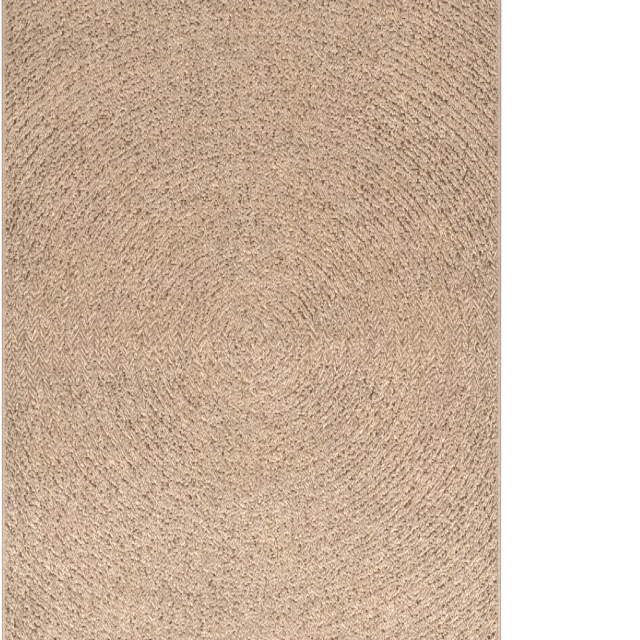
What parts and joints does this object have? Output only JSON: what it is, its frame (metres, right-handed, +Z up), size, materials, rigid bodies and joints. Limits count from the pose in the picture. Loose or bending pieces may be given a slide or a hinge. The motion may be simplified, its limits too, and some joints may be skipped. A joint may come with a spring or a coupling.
{
  "type": "outdoor rug",
  "caption": "Flat machine-woven outdoor rug with concentric braid-like rings and an overlocked yarn edge, lying flat on the floor.",
  "frame": {"origin": "on the floor, under the middle of the rug's outline", "axes": "+X along the rug's width, +Y along its length, +Z up out of its face"},
  "size_m": [1.6, 2.3, 0.0056],
  "materials": {
    "woven_cloth": "matte beige and brown weave of outdoor yarn",
    "overlock_yarn": "matte pinkish beige yarn, whipped over the edge"
  },
  "bodies": {
    "root": {"rug_cloth": "woven_cloth", "overlock_left": "overlock_yarn", "overlock_right": "overlock_yarn", "overlock_near_end": "overlock_yarn", "overlock_far_end": "overlock_yarn"}
  },
  "joints": []
}
